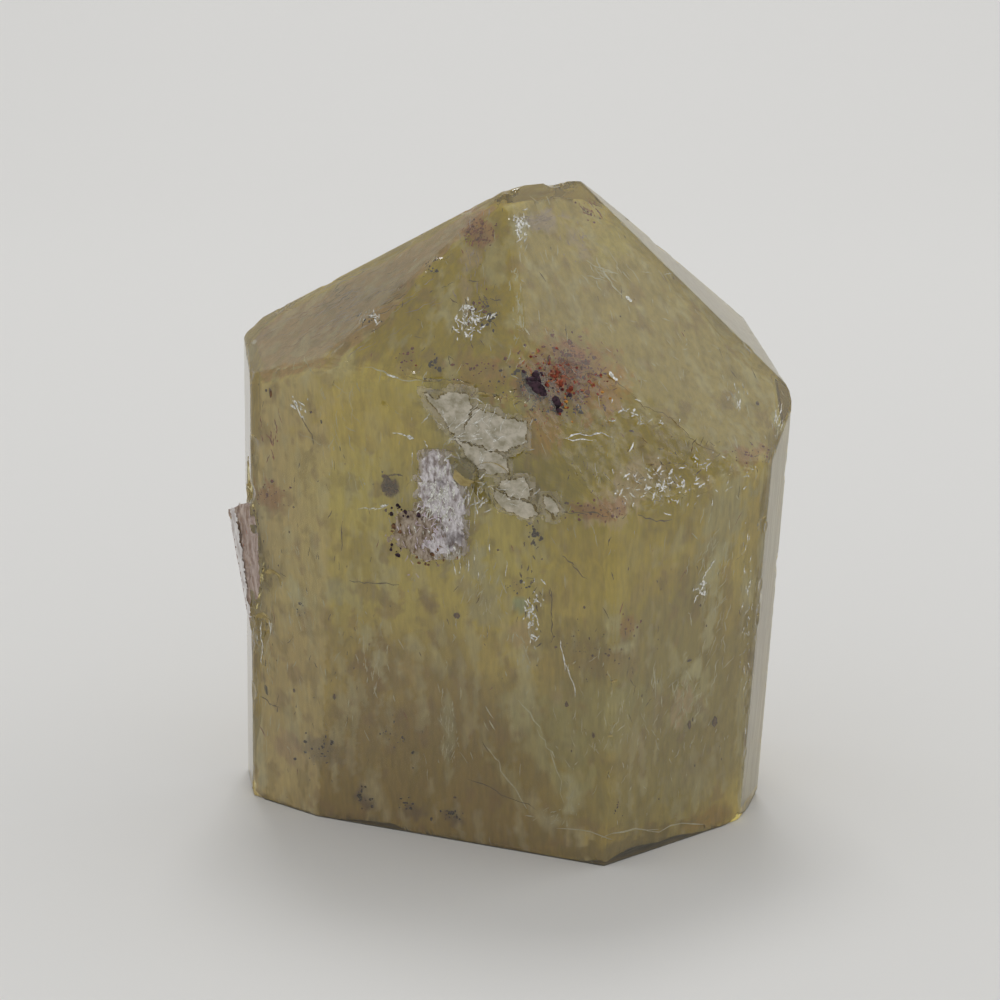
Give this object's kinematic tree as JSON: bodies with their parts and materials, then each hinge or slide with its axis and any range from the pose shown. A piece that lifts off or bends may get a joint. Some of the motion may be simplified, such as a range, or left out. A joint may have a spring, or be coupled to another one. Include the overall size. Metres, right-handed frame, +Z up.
{
  "type": "fluorapatite crystal",
  "caption": "Polished yellow-green fluorapatite point with a sawn flat base, a chipped front shoulder and iron-stained inclusions.",
  "frame": {"origin": "Middle of the footprint, on the sawn base.", "axes": "+Z up along the height of the point, +X to the right of the front, -Y out of the front."},
  "size_m": [0.0298, 0.0226, 0.0341],
  "materials": {
    "apatite": "polished, cloudy and translucent"
  },
  "bodies": {
    "root": {"crystal": "apatite"}
  },
  "joints": []
}
